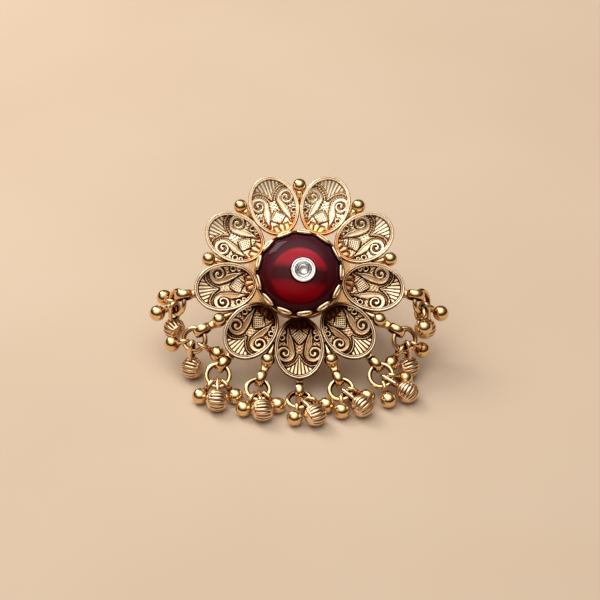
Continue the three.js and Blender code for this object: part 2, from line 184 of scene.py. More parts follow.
def skin(rings, first=None, last=None, loop=False):
    """A closed skin over rows of points. rings is an array of rows x columns x 3, each row
    anticlockwise seen from the last one. It closes to the points first and last, or in a loop."""
    rows, columns, _ = rings.shape
    here = np.arange(rows if loop else rows - 1)[:, None] * columns
    after = ((here // columns + 1) % rows) * columns
    j = np.arange(columns)[None, :]
    k = (j + 1) % columns
    quads = np.stack([here + j, here + k, after + k, after + j], -1).reshape(-1, 4)
    points = rings.reshape(-1, 3)
    triangles = []
    j, k = j[0], k[0]
    if first is not None:
        points = np.vstack([points, first])
        triangles.append(np.stack([k, j, np.full(columns, len(points) - 1)], -1))
    if last is not None:
        points = np.vstack([points, last])
        end = (rows - 1) * columns
        triangles.append(np.stack([end + j, end + k, np.full(columns, len(points) - 1)], -1))
    return points, quads, np.vstack(triangles) if triangles else np.zeros((0, 3), int)


def placed(shell, place):
    """A shell with its points carried by a function."""
    points, quads, triangles = shell
    return place(points), quads, triangles


def joined(shells):
    """Several shells as one, each keeping its own points."""
    starts = np.cumsum([0] + [len(points) for points, _, _ in shells])
    return (
        np.vstack([points for points, _, _ in shells]),
        np.vstack([quads + start for (_, quads, _), start in zip(shells, starts)]),
        np.vstack([triangles + start for (_, _, triangles), start in zip(shells, starts)]),
    )


def around(columns):
    """Equal angles once round."""
    return np.arange(columns) * 2 * np.pi / columns


def turned(profile, columns, first=None, last=None, loop=False):
    """A body turned about z: each profile point (radius, z) makes a ring of equal angles.
    first and last are the heights at which it closes on the axis."""
    radius, z = np.array(profile, float).T
    a = around(columns)
    rings = np.stack([
        np.outer(radius, np.cos(a)),
        np.outer(radius, np.sin(a)),
        np.repeat(z[:, None], columns, 1),
    ], -1)
    poles = [None if height is None else np.array([0, 0, height]) for height in (first, last)]
    return skin(rings, *poles, loop)


def rounded(points, steps):
    """A smooth line through a short list of points: a Catmull-Rom spline, steps points a span."""
    p = np.array(points, float)
    p = np.vstack([2 * p[0] - p[1], p, 2 * p[-1] - p[-2]])
    t = np.linspace(0, 1, steps, endpoint=False)[:, None]
    spans = [
        0.5 * (2 * b + (c - a) * t + (2 * a - 5 * b + 4 * c - d) * t**2 + (3 * b - a - 3 * c + d) * t**3)
        for a, b, c, d in zip(p, p[1:], p[2:], p[3:])
    ]
    return np.vstack([*spans, p[-2]])


IN_HOLE = 0.85  # shade of the oxide and painted shade on the side of a wire ring that faces its hole


def link(radius, wire, columns, sides, straight=0.0):
    """A ring of round wire about z: the wire's circle carried round, with the two halves drawn apart
    along y by straight sides. Gives its shade too: oxide and painted shade on the side that faces its hole."""
    b = around(sides)
    section = np.stack([radius + wire * np.cos(b), wire * np.sin(b)], -1)
    points, quads, triangles = turned(section, columns, loop=True)
    # half a step round, so that no point lies on the line where the halves part
    points = turned_z(points, 180 / columns)
    points = points + np.sign(points * [0, 1, 0]) * straight
    # oxide and painted shade on the side that faces the hole
    shade = np.repeat(IN_HOLE * smooth(0.15, 0.95, -np.cos(b)), columns)
    return (points, quads, triangles), shade


def ball(radius, columns, rows):
    """A ball about z: half a circle turned."""
    a = np.linspace(0, np.pi, rows + 1)[1:-1]
    profile = np.stack([radius * np.sin(a), -radius * np.cos(a)], -1)
    return turned(profile, columns, -radius, radius)


def smooth(low, high, value):
    """0 below low, 1 above high, and a smooth step between them."""
    t = np.clip((value - low) / (high - low), 0, 1)
    return t * t * (3 - 2 * t)


def bump(value, width):
    """A bell: 1 at 0, falling off over a width."""
    return np.exp(-(value / width) ** 2)


# ---------------------------------------------------------------- the relief in a petal

# One petal lies along +x from its inner end. along is measured from that end and side is across
# it. The relief is the same on both sides, so it is drawn on one. Heights are over the floor.

# Ridges with a rounded top: height, half width, width of the rounded edge.
RIDGES = {
    "arch": (0.36, 0.11, 0.1),
    "curl": (0.32, 0.15, 0.11),
    "shield's outline": (0.36, 0.11, 0.1),
}
# Plates with raised lines: height, how much higher the lines are, shade on a line, how much darker it
# is between lines, width of the plate's rounded edge.
PLATES = {
    "shield": (0.13, 0.07, 0.2, 0.5, 0.12),
    "leaves": (0.04, 0.18, 0.3, 0.55, 0.3),
    "fan": (0.08, 0.12, 0.2, 0.45, 0.06),
}
GROOVE_DEPTH = 0.16
GROOVE_WIDTH = 0.12  # half its width, and how far outside the edge its middle line is
GROOVE_SHADE = 0.6  # how much darker a groove is than the floor
RUN_OUT = 0.02  # how far outside its edge a form runs out
THINNEST = 0.04  # where a form is lower than this, it keeps the shade of what it lies on

# The scroll's stem, from its pointed tail to where it starts to wind: along, side, half width.
STEM = [
    (1.9, 1.95, 0.05),
    (2.8, 1.88, 0.2),
    (3.6, 1.76, 0.42),
    (4.5, 1.6, 0.58),
    (5.3, 1.42, 0.55),
]
SCROLL_CENTRE = (6.25, 2.44)
# The scroll winds in about its centre and ends in a bead: degrees from the tip's direction, radius,
# half width.
SCROLL = [
    (-90, 1.26, 0.42),
    (-45, 1.24, 0.35),
    (0, 1.2, 0.3),
    (45, 1.15, 0.27),
    (90, 1.08, 0.25),
    (180, 0.88, 0.22),
    (260, 0.66, 0.2),
    (340, 0.44, 0.2),
    (410, 0.24, 0.25),
    (440, 0.16, 0.28),
]
SCROLL_TOP = 0.42
SCROLL_EDGE = 0.13
OUTLINE = 0.3  # how far in from the ribbon's edge its raised outline reaches
OUTLINE_SHARE = 0.55  # and the most that it takes of a narrow ribbon's half width
SUNK = 0.22  # how much lower the ribbon is between its outlines
SUNK_SHADE = 0.44
# The arch over the fan, from its point between the scrolls out to the rim: side, along.
ARCH = [(0.0, 6.6), (0.28, 7.15), (0.85, 7.82), (1.7, 8.36), (2.4, 8.42), (3.1, 8.15), (3.7, 7.6)]
FAN_FROM = 4.4  # the fan's strokes point away from here
FAN_STEP = 7.2  # degrees from stroke to stroke
FAN_CLEAR = 0.3  # how far beyond the arch, towards the petal's tip, the fan starts
FAN_INSET = 0.76  # how far in from the petal's outline it ends
# The shield between the stems: along the petal, and its half width there.
SHIELD_ALONG = [2.1, 2.35, 2.65, 2.9, 3.15, 3.4, 3.8, 4.25, 4.75]
SHIELD_HALF = [0.0, 0.18, 0.5, 0.92, 1.36, 1.2, 0.94, 0.56, 0.0]
SHIELD_SLANT = 0.75  # turns a distance across the petal into one square to the shield's edge
SHIELD_OUTLINE = 0.12  # how far in from the edge the outline's middle line is
HATCH_STEP = 0.46  # of the shield's crossed lines
# The small curls between the stem and the rim: along, side, radius.
CURLS = [(3.6, 2.92, 0.4), (2.65, 2.66, 0.26)]
LEAF_FROM = -1.2  # the leaves at the inner end fan out from here
LEAF_STEP = np.radians(10)
LEAF_REACH = 2.7
LEAF_TIP = 0.4  # how much farther a leaf reaches at its rib
LEAF_WAVE = 0.25  # the slow wave in the line of their tips
CURL_HOLE = 0.16  # how far in from a curl's middle line its dark hole starts
CURL_HOLE_SHADE = 0.9
FLOOR_STEP = 0.56  # of the floor's crossed lines
FLOOR_WEAVE = 0.05  # their height
FLOOR_SHADE = 0.3
WEAVE_SHADE = 0.16  # how much the shade goes up and down with the crossed lines
HOLLOW = 0.8  # how deep and dark the hollow along the arch is, as a share of a groove


def scroll_line():
    """The scroll's middle line with its half widths: its stem, then a spiral whose radius shrinks as
    it winds in."""
    turn, radius, half = rounded(SCROLL, 24).T
    turn = np.radians(turn)
    spiral = np.stack([
        SCROLL_CENTRE[0] + radius * np.cos(turn),
        SCROLL_CENTRE[1] + radius * np.sin(turn),
        half,
    ], -1)
    return np.vstack([rounded([*STEM, spiral[0]], 20)[:-1], spiral])


def near(line, along, side):
    """For each point, its distance to the nearest point of a line and the half width there."""
    gaps = np.hypot(along[:, None] - line[:, 0], side[:, None] - line[:, 1])
    nearest = gaps.argmin(1)
    return gaps[np.arange(len(gaps)), nearest], line[nearest, 2]


def relief(along, side, inset):
    """The height of the relief over the petal's floor and its shade, from 0 on rubbed metal to 1 in
    dark recesses. Each raised form is a height that falls off at its edge, the highest form shows,
    and a groove runs outside each edge. inset is the distance in from the petal's outline."""
    side = np.abs(side)
    height = np.zeros(len(along))
    groove = np.zeros(len(along))
    shade = np.zeros(len(along))

    def add(outside, top, edge, dark=0.0):
        """Adds a form, given the distance outside its edge, its height, the width of its rounded
        edge and its shade."""
        nonlocal height, groove, shade
        form = top * (1 - smooth(-edge, RUN_OUT, outside))
        shade = np.where((form > height) & (form > THINNEST), dark, shade)
        height = np.maximum(height, form)
        groove = np.maximum(groove, bump(outside - GROOVE_WIDTH, GROOVE_WIDTH))

    def add_ridge(name, gap):
        """Adds a ridge, given the distance from its middle line."""
        top, half, edge = RIDGES[name]
        add(gap - half, top, edge)

    def add_plate(name, outside, lines, bright):
        """Adds a plate, given the distance outside its edge, how raised its lines are and how
        bright, both from 0 to 1."""
        top, line_top, on_line, between, edge = PLATES[name]
        add(outside, top + line_top * lines, edge, on_line + between * (1 - bright))

    # the shield: a plate with a raised outline and crossed lines
    shield = SHIELD_SLANT * (side - np.interp(along, SHIELD_ALONG, SHIELD_HALF, left=-1, right=-1))
    waves = [np.cos((along + sign * side) * 2 * np.pi / HATCH_STEP) for sign in (1, -1)]
    hatch = smooth(-0.1, 0.8, np.maximum(*waves))
    add_plate("shield", shield, hatch, hatch)
    add_ridge("shield's outline", np.abs(shield + SHIELD_OUTLINE))

    # the leaves at the inner end
    ray = np.arctan2(side, along - LEAF_FROM)
    reach = np.hypot(along - LEAF_FROM, side)
    rib = np.abs(np.cos(ray / LEAF_STEP * np.pi / 2)) ** 0.7
    leaf = reach - LEAF_REACH - LEAF_TIP * rib - LEAF_WAVE * np.cos(ray * 3)
    add_plate("leaves", leaf, rib, smooth(0.1, 0.7, rib))

    # the small curls: rings round a dark hole
    for curl_along, curl_side, radius in CURLS:
        gap = np.hypot(along - curl_along, side - curl_side)
        add_ridge("curl", np.abs(gap - radius))
        shade = np.where(gap < radius - CURL_HOLE, np.maximum(shade, CURL_HOLE_SHADE), shade)

    # the fan: strokes on a plate that fills the room between the arch and the rim
    arch_side, arch_along = rounded(ARCH, 16).T
    beyond = along - np.interp(side, arch_side, arch_along)
    stroke = np.cos(np.degrees(np.arctan2(side, along - FAN_FROM)) * 2 * np.pi / FAN_STEP)
    lines = smooth(-0.95, -0.2, stroke)
    add_plate("fan", np.maximum(FAN_CLEAR - beyond, FAN_INSET - inset), lines, lines)
    gap, _ = near(np.stack([arch_along, arch_side, arch_side], -1), along, side)
    add_ridge("arch", gap)

    # the scrolls, over the rest: a ribbon with raised edges that winds in to a bead
    gap, half = near(scroll_line(), along, side)
    rest = half - np.minimum(OUTLINE, OUTLINE_SHARE * half)
    sunk = (1 - smooth(rest, rest + 0.1, gap)) * smooth(0.05, 0.48, half)
    add(gap - half, SCROLL_TOP - SUNK * sunk, SCROLL_EDGE, SUNK_SHADE * sunk)

    # the bare floor: crossed lines between the grooves, and a dark hollow along the arch
    bare = 1 - smooth(0.0, 0.1, height)
    weave = np.sin(along * 2 * np.pi / FLOOR_STEP) * np.sin(side * 2 * np.pi / FLOOR_STEP)
    hollow = HOLLOW * smooth(-0.6, -0.3, beyond) * smooth(0.25, 0.7, side)
    deep = np.maximum(groove, hollow)
    height = height + bare * (FLOOR_WEAVE * weave - GROOVE_DEPTH * deep)
    shade = np.maximum(shade, (FLOOR_SHADE - WEAVE_SHADE * weave + GROOVE_SHADE * deep) * bare)
    return height, shade


# ---------------------------------------------------------------- petals

PETAL_CELLS = 110  # of the lattice over the petal's face, each way
RIM_ZONE = 0.85  # width round the edge in which rows keep an even distance from it
# The rim's section: distance in from the widest line, drop below the rim's top, shade.
RIM_SECTION = [
    (0.0, 0.36, 0.75),
    (0.05, 0.2, 0.5),
    (0.11, 0.07, 0.12),
    (0.19, 0.0, 0.0),
    (0.28, 0.02, 0.0),
    (0.34, 0.11, 0.15),
    (0.39, 0.2, 0.6),
    (0.44, 0.21, 0.65),
    (0.49, 0.15, 0.1),
    (0.54, 0.13, 0.0),
    (0.6, 0.18, 0.1),
    (0.66, 0.34, 0.6),
    (0.72, 0.62, 0.85),
    (0.78, 1.1, 0.9),
]
# Down the wall and in under the back: inset from the widest line, height.
WALL_SECTION = [
    (0.0, 1.7),
    (0.01, 1.4),
    (0.04, 1.0),
    (0.12, 0.55),
    (0.24, 0.22),
    (0.36, 0.06),
    (0.5, 0.0),
    (2.0, 0.0),
]
RIM_SOLID = 0.62  # the rim is at least this wide
RIM_ROWS = 33
FLOOR_MIDDLE = 0.95  # height of the floor in the middle of the petal
FLOOR_RISE = 0.62  # how much higher the floor is at the rim than in the middle
FLOOR_MARGIN = 0.5  # how far in from the outline the floor's rise ends
FACE_OVER = 0.9  # only what is above this height takes the warmth of the inner end
WALL_SHADE = 0.3
WALL_WARMTH = 0.5
WARM_FROM = 0.8  # the inner end's warmth, a painted reflection, fades from this far along the petal
WARM_TO = 3.2  # to this far


def petal_outline(inset, cosine, sine):
    """An egg at an inset from the petal's widest line: an ellipse whose width grows along it."""
    x = PETAL_LENGTH / 2 + (PETAL_LENGTH / 2 - inset) * cosine
    y = (PETAL_WIDTH / 2 - inset) * sine * (1 + PETAL_EGG * cosine)
    return x, y


def lattice_on_disc(cells):
    """A square lattice wound onto the unit disc, each of its squares onto a circle, so that its cells
    stay even. Gives its points, its quads and its edge's point numbers by angle."""
    t = np.linspace(-1, 1, cells + 1)
    a, b = (grid.ravel() for grid in np.meshgrid(t, t, indexing="ij"))
    wide = np.abs(a) > np.abs(b)
    radius = np.where(wide, a, b)
    share = np.where(wide, b, a) / np.where(radius == 0, 1, radius)
    angle = np.where(wide, share, 2 - share) * np.pi / 4
    x, y = radius * np.cos(angle), radius * np.sin(angle)
    number = np.arange(len(x)).reshape(cells + 1, cells + 1)
    quads = np.stack([number[:-1, :-1], number[1:, :-1], number[1:, 1:], number[:-1, 1:]], -1).reshape(-1, 4)
    edge = np.unique(np.concatenate([number[0], number[-1], number[:, 0], number[:, -1]]))
    return x, y, quads, edge[np.argsort(np.arctan2(y[edge], x[edge]))]


def petal_shell():
    """One petal. A lattice covers its face, a spoon-shaped floor with the relief on it. From the
    lattice's edge the rows follow the rim's section out, go down the drafted wall and close over the
    flat back. Gives the shell, each point's shade, and its warmth, which fades from the inner end
    and down the wall."""
    x, y, quads, edge = lattice_on_disc(PETAL_CELLS)
    reach = np.hypot(x, y)
    cosine, sine = x[edge], y[edge]
    columns = len(edge)
    face_along, face_side = petal_outline(RIM_ZONE, x, y)
    rim_inset = np.linspace(RIM_ZONE, 0, RIM_ROWS + 1)[1:, None]
    rim_along, rim_side = petal_outline(rim_inset, cosine, sine)

    along = np.concatenate([face_along, rim_along.ravel()])
    side = np.concatenate([face_side, rim_side.ravel()])
    face_inset = RIM_ZONE + (1 - reach) * (PETAL_WIDTH / 2 - RIM_ZONE)
    inset = np.concatenate([face_inset, np.repeat(rim_inset, columns)])
    height, shade = relief(along, side, inset)
    middle = PETAL_LENGTH / 2
    half = PETAL_WIDTH / 2
    spread = np.hypot((along - middle) / (middle - FLOOR_MARGIN), side / (half - FLOOR_MARGIN))
    floor = FLOOR_MIDDLE + FLOOR_RISE * np.minimum(spread, 1) ** 2
    rim_at, rim_drop, rim_shade = np.array(RIM_SECTION).T
    rim = RIM_TOP - np.interp(inset, rim_at, rim_drop, right=9)
    on_rim = (inset < RIM_SOLID) | (rim > floor + height)
    z = np.where(on_rim, rim, floor + height)
    shade = np.where(on_rim, np.interp(inset, rim_at, rim_shade), shade)

    wall_inset, wall_z = np.array(WALL_SECTION).T[:, :, None]
    wall_along, wall_side = petal_outline(wall_inset, cosine, sine)
    points = np.stack([
        np.concatenate([along, wall_along.ravel(), [middle]]),
        np.concatenate([side, wall_side.ravel(), [0.0]]),
        np.concatenate([z, np.repeat(wall_z, columns), [0.0]]),
    ], -1)
    shade = np.concatenate([shade, np.full(wall_along.size + 1, WALL_SHADE)])
    on_wall = WALL_WARMTH * (np.arange(len(points)) >= len(along)) * smooth(0.0, 1.0, points[:, 2])
    # the inner end, where the upper petals get a painted warm reflection and the lower ones painted shadow
    at_inner_end = (1 - smooth(WARM_FROM, WARM_TO, points[:, 0])) * (points[:, 2] > FACE_OVER)
    warm = np.maximum(at_inner_end, on_wall)

    rows = len(rim_inset) + len(wall_inset)
    numbers = np.vstack([edge, len(x) + np.arange(rows * columns).reshape(rows, columns)])
    after = np.roll(numbers, -1, axis=1)
    strips = np.stack([numbers[:-1], numbers[1:], after[1:], after[:-1]], -1).reshape(-1, 4)
    back = np.stack([after[-1], numbers[-1], np.full(columns, len(points) - 1)], -1)
    return (points + [PETAL_INNER, 0, 0], np.vstack([quads, strips]), back), shade, warm


# ---------------------------------------------------------------- granules, loops and the setting

NECK = [(0.5, -2.3), (0.5, -0.9), (0.62, -0.55), (0.75, 0.0)]  # radius, place along a granule's neck
NECK_SINK = 0.25  # how far the neck runs into its granule
NECK_DROP = 0.2  # how far below the granule's middle it lies


def granule_shell():
    """A ball with a short post behind it, which reaches back between two petals: a turned neck."""
    body = placed(ball(GRANULE_RADIUS, 32, 20), lambda p: p + [GRANULE_CIRCLE, 0, GRANULE_HEIGHT])
    neck = turned(NECK, 16, NECK[0][1], 0.1)
    lay = np.array([[0, 0, -1], [0, 1, 0], [1, 0, 0]])
    start = [GRANULE_CIRCLE - GRANULE_RADIUS + NECK_SINK, 0, GRANULE_HEIGHT - NECK_DROP]
    return joined([body, placed(neck, lambda p: p @ lay + start)])


LOOP_SOFT = 0.13  # how far in from its corners a band loop's edges are softened
LOOP_FULL = 0.05  # how much wider a smooth loop is to each side than the faceted one
LOOP_WORN = 0.06  # how much less its outer radius is
LOOP_CROWN = 0.02  # how much its middle line stands out beyond that
# The bracket's half width and half thickness at the loop, and their change towards the carrier.
BRACKET_WIDE, BRACKET_WIDER = 0.68, 0.44
BRACKET_THICK, BRACKET_THINNER = 0.46, 0.18


def band_loop_shell(circle, carrier_edge):
    """A flat band bent into a loop whose hole runs along y, with softened edges, and the bracket that
    carries it: a rounded oval section that narrows and thickens from under the carrier's edge to the
    loop. Gives its shade too: oxide stays in the hole and where the bracket meets its neighbours, and
    the loop's flat sides are painted darker, painted shade."""
    soft = LOOP_SOFT
    half = LOOP_WIDTH / 2 + LOOP_FULL
    outer = LOOP_OUTER - LOOP_WORN
    # oxide in the hole, painted shade on the flat sides
    edge = [
        # radius, place across, shade
        (LOOP_INNER, soft - half, 0.9),
        (LOOP_INNER + soft * 0.5, soft * 0.15 - half, 0.8),
        (outer - soft, -half, 0.6),
        (outer - soft * 0.2, soft * 0.3 - half, 0.1),
    ]
    other_edge = [(radius, -across, shade) for radius, across, shade in reversed(edge)]
    profile = np.array([*edge, (outer + LOOP_CROWN, 0.0, 0.0), *other_edge])
    ring = turned(profile[:, :2], 48, loop=True)
    upright = np.array([[1, 0, 0], [0, 0, 1], [0, -1, 0]])
    ring = placed(ring, lambda p: p @ upright + [circle, 0, LOOP_HEIGHT])
    a = around(24)
    steps = np.linspace(0, 1, 12)[:, None]
    wide = BRACKET_WIDE + BRACKET_WIDER * (1 - steps) ** 2.2
    thick = BRACKET_THICK - BRACKET_THINNER * (1 - steps)
    start, end = carrier_edge - 0.9, circle - LOOP_INNER - 0.1
    x = start + (end - start) * steps + 0 * a
    y = wide * np.sign(np.cos(a)) * np.abs(np.cos(a)) ** 0.7
    z = LOOP_HEIGHT - 0.02 * (1 - steps) + thick * np.sin(a)
    bracket = skin(np.stack([x, y, z], -1), first=[start, 0, LOOP_HEIGHT], last=[end, 0, LOOP_HEIGHT])
    met = np.maximum(smooth(0.5, 0.15, steps[:, 0]), smooth(0.8, 1.0, steps[:, 0]))
    bracket_shade = np.repeat(0.1 + 0.75 * met, 24)
    shade = np.concatenate([np.repeat(profile[:, 2], 48), bracket_shade, [0.8, 0.8]])
    return joined([ring, bracket]), shade


BEZEL_COLUMNS = 156
BEZEL_DIP = 0.75  # how far the wall's edge runs down between two lobes
BEAD_WIRE = 0.17  # radius of the wire round the bezel
BEAD_WIRE_OUT = 0.1  # how far its middle lies outside the wall
BEAD_WIRE_HEIGHT = 2.02
WIRE_SHADE = 0.5


def bezel_shell():
    """The stone's setting, turned: a closed cup with a step at its foot and a thin wall whose edge
    dips between the lobes, with a bead wire round it. Gives its shade too: oxide, and painted shadow
    on the wall under the lobes."""
    wall_inner = BEZEL_RADIUS - BEZEL_WALL
    profile = [
        (BEZEL_FOOT - 0.1, UNDERSIDE),
        (BEZEL_FOOT, UNDERSIDE + 0.08),
        (BEZEL_FLANGE, BEZEL_FLOOR - 0.12),
        (BEZEL_FLANGE + 0.03, BEZEL_FLOOR),
        (BEZEL_FLANGE - 0.05, BEZEL_FLOOR + 0.15),
        (BEZEL_RADIUS + 0.08, 1.6),
        (BEZEL_RADIUS + 0.05, 2.2),
        (BEZEL_RADIUS - 0.02, BEZEL_TOP - 0.12),
        (BEZEL_RADIUS - 0.15, BEZEL_TOP),
        (wall_inner + 0.1, BEZEL_TOP),
        (wall_inner, BEZEL_TOP - 0.1),
        (wall_inner, BEZEL_FLOOR + 0.05),
    ]
    points, quads, triangles = turned(profile, BEZEL_COLUMNS, UNDERSIDE, BEZEL_FLOOR)
    angle = np.arctan2(points[:, 1], points[:, 0])
    gap = smooth(0.1, 0.7, -np.cos(angle * BEZEL_LOBES))
    height = points[:, 2] - BEZEL_DIP * gap * smooth(1.7, 2.7, points[:, 2])
    cup = np.column_stack([points[:, :2], height]), quads, triangles
    b = around(12)
    wire = np.stack([
        BEZEL_RADIUS + BEAD_WIRE_OUT + BEAD_WIRE * np.cos(b),
        BEAD_WIRE_HEIGHT + BEAD_WIRE * np.sin(b),
    ], -1)
    wire = turned(wire, BEZEL_COLUMNS, loop=True)
    # oxide and painted shadow on the wall under the lobes
    shade = 0.9 * smooth(0.3, 0.8, height) * (1 - smooth(2.6, 2.85, height))
    return joined([cup, wire]), np.concatenate([shade, np.full(len(wire[0]), WIRE_SHADE)])


# A lobe's pad before it is bent: half its size across the wall, along it and in height.
PAD_ACROSS, PAD_ALONG, PAD_HIGH = 0.5, 1.34, 0.36
PAD_DISH = 0.3
PAD_DARK_UNDER = -0.15  # below this height it is painted dark: painted shade under the pad
PAD_LEAN = np.radians(38)  # how far it leans in over the stone


def lobe_shell():
    """An oval pad bent in over the stone's edge: a flattened ball with a dished top, curved along
    the bezel. Gives its shade too: oxide stays in the dish, and the pad's underside is painted dark,
    painted shade."""
    columns, rows = 36, 16
    a = around(columns)
    lat = np.linspace(-np.pi / 2, np.pi / 2, rows + 2)[1:-1, None]
    out = np.cos(lat) ** 0.8
    x = PAD_ACROSS * out * np.cos(a)
    y = PAD_ALONG * out * np.sin(a)
    rise = PAD_HIGH * np.sin(lat) + 0 * a
    dish = bump(x / PAD_ACROSS, 0.34) * bump(y / PAD_ALONG, 0.6)
    z = np.where(rise > 0, rise - PAD_DISH * dish, rise)
    x = x - y**2 / (2 * BEZEL_RADIUS)
    shell = skin(np.stack([x, y, z], -1), first=[0, 0, -PAD_HIGH], last=[0, 0, PAD_HIGH - PAD_DISH])
    c, s = np.cos(PAD_LEAN), np.sin(PAD_LEAN)
    turn = np.array([[c, 0, s], [0, 1, 0], [-s, 0, c]])
    start = [BEZEL_RADIUS - BEZEL_WALL / 2 - 0.05, 0, BEZEL_TOP + 0.15]
    # oxide in the dish, painted shade on the underside
    shade = np.concatenate([(0.75 * dish + 0.7 * (rise < PAD_DARK_UNDER)).ravel(), [0.7, 0.75]])
    return placed(shell, lambda p: p @ turn.T + start), shade


# The finger band's section: place out as a share of the thickness, place across as a share of half
# the width.
BAND_SECTION = [
    (0.06, -0.88), (0.0, -0.8), (0.0, 0.0), (0.0, 0.8), (0.06, 0.88), (0.25, 0.96), (0.5, 1.0),
    (0.66, 0.95), (0.8, 0.75), (0.9, 0.5), (0.94, 0.2), (0.94, -0.2), (0.9, -0.5), (0.8, -0.75),
    (0.66, -0.95), (0.5, -1.0), (0.25, -0.96),
]


def band_shell():
    """The finger band: a low crowned section with soft edges carried round the finger. It is wide at
    the shoulders, and slims towards the back by a smooth step of the angle's cosine."""
    a = around(180)[:, None]
    slim = smooth(-np.cos(SLIM_FROM), 1, -np.cos(a))
    half = (SHOULDER_WIDTH + (BACK_WIDTH - SHOULDER_WIDTH) * slim) / 2
    out, across = np.array(BAND_SECTION).T
    radius = BAND_INNER + BAND_THICK * BAND_CROWN * out
    rings = np.stack([radius * np.sin(a), half * across, BAND_CENTRE + radius * np.cos(a)], -1)
    return skin(rings, loop=True)


# ---------------------------------------------------------------- stones

STONE_TOP = GIRDLE_HEIGHT + STONE_DOME
POCKET_FLOOR = STONE_TOP - POCKET_DEPTH
HEART_RADIUS = 4.7  # of the foil that shows through the glass, where its painted reflection lies
HEART_EDGE = 0.25  # half the width of its soft edge
HEART_LOW = -0.8  # how far up from the stone's middle it is centred
FOIL_TURN = np.radians(6)  # how far the painted dark band across the foil is turned
FOIL_BOW = 0.45  # how far the foil follows the dome, from 0, flat
COLLET_FLOOR = 0.35  # thickness of the collet's floor
ACCENT_SEAT = 0.45  # how far above the collet's foot the clear stone's point is
# Its rings of points from the girdle up: radius, height over its point, turn as a share of a step.
ACCENT_RINGS = [(1.28, 0.3, 0.0), (1.28, 0.38, 0.0), (1.05, 0.6, 0.5), (0.75, 0.72, 0.0)]


def stone_shell():
    """The round cabochon: an elliptic dome over a short foot. Its rows run from the pocket's circle
    to the girdle's, so that they fit the pocket's place off the middle. Gives the shell, the share
    of bright foil seen behind each point, its place up the foil from 0 to 1, and the foil's facing
    there: it is a flatter dome."""
    a = around(96)
    pocket = COLLET_RADIUS + FIT_GAP / 2
    girdle = np.stack([GIRDLE_RADIUS * np.cos(a), GIRDLE_RADIUS * np.sin(a)], -1)
    centre = np.array([COLLET_OFFSET, 0])
    toward = girdle - centre
    inner = centre + pocket * toward / np.linalg.norm(toward, axis=1)[:, None]
    share = np.sin(np.linspace(0, np.pi / 2, 60))[:, None, None]
    flat = inner + (girdle - inner) * share
    radius = np.minimum(np.linalg.norm(flat, axis=2) / GIRDLE_RADIUS, 1)
    dome = np.concatenate([flat, (GIRDLE_HEIGHT + STONE_DOME * np.sqrt(1 - radius**2))[..., None]], 2)
    floor = np.concatenate([inner, np.full((len(a), 1), POCKET_FLOOR)], 1)
    foot_rows = [
        (GIRDLE_RADIUS - 0.02, GIRDLE_HEIGHT - 0.15),
        (STONE_FOOT_RADIUS + 0.03, STONE_FOOT + 0.12),
        (STONE_FOOT_RADIUS - 0.1, STONE_FOOT),
    ]
    foot = [np.stack([r * np.cos(a), r * np.sin(a), np.full_like(a, z)], -1) for r, z in foot_rows]
    rings = np.concatenate([floor[None], dome, np.array(foot)])[::-1]
    points, quads, triangles = skin(rings, first=[0, 0, STONE_FOOT], last=[COLLET_OFFSET, 0, POCKET_FLOOR])
    from_heart = np.hypot(points[:, 0], points[:, 1] - HEART_LOW)
    heart = 1 - smooth(HEART_RADIUS - HEART_EDGE, HEART_RADIUS + HEART_EDGE, from_heart)
    heart *= points[:, 2] > GIRDLE_HEIGHT
    up = (points[:, 1] - HEART_LOW) * np.cos(FOIL_TURN) + points[:, 0] * np.sin(FOIL_TURN)
    up_foil = np.clip(0.5 + up / (2 * HEART_RADIUS), 0, 1)
    rise = np.maximum(points[:, 2] - GIRDLE_HEIGHT, 0.05) / STONE_DOME**2
    facing = np.stack([points[:, 0] / GIRDLE_RADIUS**2, points[:, 1] / GIRDLE_RADIUS**2, rise], -1)
    facing /= np.linalg.norm(facing, axis=1)[:, None]
    facing = facing * FOIL_BOW + np.array([0, 0, 1 - FOIL_BOW])
    facing /= np.linalg.norm(facing, axis=1)[:, None]
    return (points, quads, triangles), heart, up_foil, facing @ HEAD_TURN.T


def collet_shell():
    """The small silver setting: a turned cup with two rounded ridges round its mouth."""
    foot = POCKET_FLOOR + FIT_GAP / 2
    top = foot + COLLET_HEIGHT
    profile = [
        (COLLET_RADIUS - 0.05, foot),
        (COLLET_RADIUS, foot + 0.06),
        (COLLET_RADIUS, top - 0.28),
        (COLLET_RADIUS - 0.06, top - 0.12),
        (COLLET_RADIUS - 0.2, top - 0.03),
        (COLLET_RADIUS - 0.34, top - 0.12),
        (COLLET_RADIUS - 0.4, top - 0.24),
        (COLLET_RADIUS - 0.46, top - 0.16),
        (COLLET_RADIUS - 0.56, top - 0.08),
        (COLLET_RADIUS - 0.67, top - 0.16),
        (COLLET_RADIUS - 0.74, top - 0.34),
        (COLLET_RADIUS - 0.78, foot + COLLET_FLOOR),
    ]
    cup = turned(profile, 72, foot, foot + COLLET_FLOOR)
    return placed(cup, lambda p: p + [COLLET_OFFSET, 0, 0])


def accent_shell():
    """The clear cut stone: a pavilion that comes to a point, a thin girdle, a crown whose middle ring
    of points is turned half a step, and a flat table, all of sixteen sides."""
    foot = POCKET_FLOOR + FIT_GAP / 2 + ACCENT_SEAT
    rings = []
    for radius, z, turn in ACCENT_RINGS:
        a = around(16) + turn * 2 * np.pi / 16
        rings.append(np.stack([radius * np.cos(a), radius * np.sin(a), np.full_like(a, foot + z)], -1))
    table = [0, 0, foot + ACCENT_RINGS[-1][1]]
    return placed(skin(np.array(rings), first=[0, 0, foot], last=table), lambda p: p + [COLLET_OFFSET, 0, 0])


# ---------------------------------------------------------------- drops

